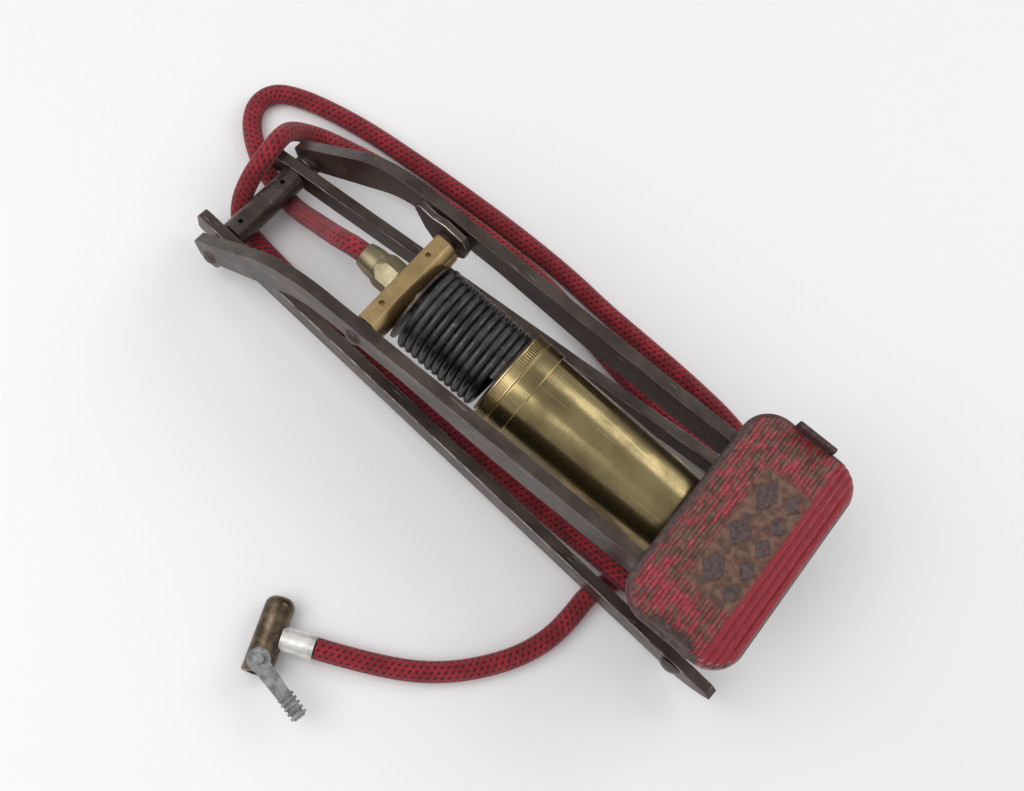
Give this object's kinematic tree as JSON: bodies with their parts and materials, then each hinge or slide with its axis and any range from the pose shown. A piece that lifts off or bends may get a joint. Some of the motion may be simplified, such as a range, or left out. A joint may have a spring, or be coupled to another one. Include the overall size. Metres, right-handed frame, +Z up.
{
  "type": "foot air pump",
  "caption": "Folded foot-operated air pump: two base rails, swan-neck lever arms with a ribbed pedal, brass cylinder with return spring, and a braided hose ending in a lever chuck.",
  "frame": {"origin": "centre of the bounding box of the pump itself, without its hose and chuck", "axes": "+X from the rear pivot towards the pedal, +Y across the pump, +Z up"},
  "size_m": [0.3527, 0.2495, 0.08],
  "materials": {
    "worn_steel": "worn, brown-grey",
    "bright_steel": "satin",
    "brass": "dull, scratched",
    "bronze": "aged",
    "zinc": "cast",
    "red_paint": "gloss, worn at the edges",
    "black_spring": "satin",
    "cast_iron": "rough",
    "leather": "oiled",
    "felt": "matt",
    "rubber": "matt",
    "red_braid": "woven with black flecks"
  },
  "bodies": {
    "base": {"rail_left": "worn_steel", "rail_right": "worn_steel", "spacer_tube": "worn_steel", "rear_pivot_pin": "worn_steel", "pivot_washers": "worn_steel", "front_pin_rivets": "worn_steel", "hose_loop": "red_braid", "hose_over": "red_braid", "hose_tail": "red_braid", "ferrule": "bright_steel", "chuck_body": "bronze", "chuck_washer": "rubber", "chuck_pin": "bright_steel"},
    "lever": {"arm_left": "worn_steel", "arm_right": "worn_steel", "crosshead_pins": "worn_steel", "pedal": "red_paint", "pedal_rivets": "worn_steel", "pedal_brackets": "worn_steel", "catch_washers": "worn_steel"},
    "rod": {"crosshead": "brass", "union_nut": "bright_steel", "hose_nipple": "brass", "piston_rod": "bright_steel", "valve_seat": "brass", "upper_spring_seat": "worn_steel", "return_spring": "black_spring", "piston_body": "brass", "cup_leather": "leather", "cup_retainer": "worn_steel", "piston_nut": "bright_steel", "hose_lead": "red_braid"},
    "cylinder": {"knurled_ring": "brass", "cap_band": "brass", "barrel": "brass", "rod_guide": "brass", "head_felt": "felt", "base_plug": "cast_iron", "plug_gasket": "leather", "front_pin": "worn_steel", "foot_spacers": "worn_steel", "lower_spring_seat": "worn_steel"},
    "catch": {"catch_plate": "worn_steel"},
    "chuck_thumb": {"chuck_lever": "zinc"},
    "ball": {"check_ball": "bright_steel"}
  },
  "joints": [
    {"name": "lever_fold", "type": "hinge", "parent": "base", "child": "lever", "pos_m": [-0.14245, 0, -0.0285], "axis": [0, -1, 0], "range_deg": [0, 50]},
    {"name": "rod_swing", "type": "hinge", "parent": "lever", "child": "rod", "pos_m": [-0.05645, 0, 0.014], "axis": [0, -1, 0], "range_deg": [-59.7, 0]},
    {"name": "stroke", "type": "slide", "parent": "rod", "child": "cylinder", "axis": [0.9964, 0, -0.0847], "range_m": [0, 0.0757], "deforming": ["return_spring"]},
    {"name": "catch_turn", "type": "hinge", "parent": "lever", "child": "catch", "pos_m": [-0.05645, 0.0273, 0.014], "axis": [0, 1, 0], "range_deg": [0, 35]},
    {"name": "chuck_thumb_turn", "type": "hinge", "parent": "base", "child": "chuck_thumb", "pos_m": [-0.00033, -0.15829, -0.03], "axis": [0, 0, 1], "range_deg": [-90, 0]},
    {"name": "valve_lift", "type": "slide", "parent": "rod", "child": "ball", "axis": [0.9964, 0, -0.0847], "range_m": [-0.0012, 0]}
  ],
  "couplings": [
    {"joint": "rod_swing", "follows": "lever_fold", "ratio": -1.1924},
    {"joint": "stroke", "follows": "lever_fold", "m_per_rad": 0.086522}
  ]
}
